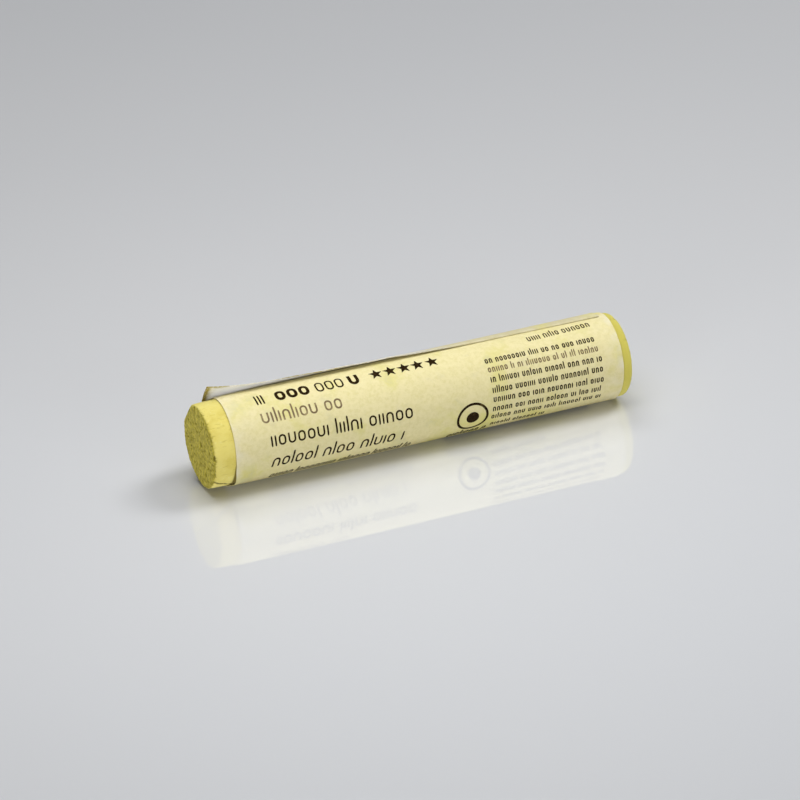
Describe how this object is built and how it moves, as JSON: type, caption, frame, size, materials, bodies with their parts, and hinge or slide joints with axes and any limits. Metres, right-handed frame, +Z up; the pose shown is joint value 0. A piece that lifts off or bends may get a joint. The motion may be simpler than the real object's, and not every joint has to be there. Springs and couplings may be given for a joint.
{
  "type": "soft pastel stick",
  "caption": "Round stick of pressed pigment, part used, in a thin wrapped paper label whose free edge has come loose at one corner.",
  "frame": {"origin": "middle of the small resting flat on the underside of the label, at half the stick's length", "axes": "+X along the stick from the worn end to the unused end, +Z up from the surface that it rests on"},
  "size_m": [0.063, 0.0127, 0.014],
  "materials": {
    "pigment": "matt and powdery, pressed pigment with fine lengthwise drag marks and small pores",
    "label_paper": "thin uncoated translucent label paper, slightly wrinkled, rubbed with pigment along its edges",
    "print_ink": "flat dark ink, a little broken where the paper is rubbed"
  },
  "bodies": {
    "root": {"pastel_stick": "pigment", "paper_label": "label_paper"}
  },
  "joints": []
}
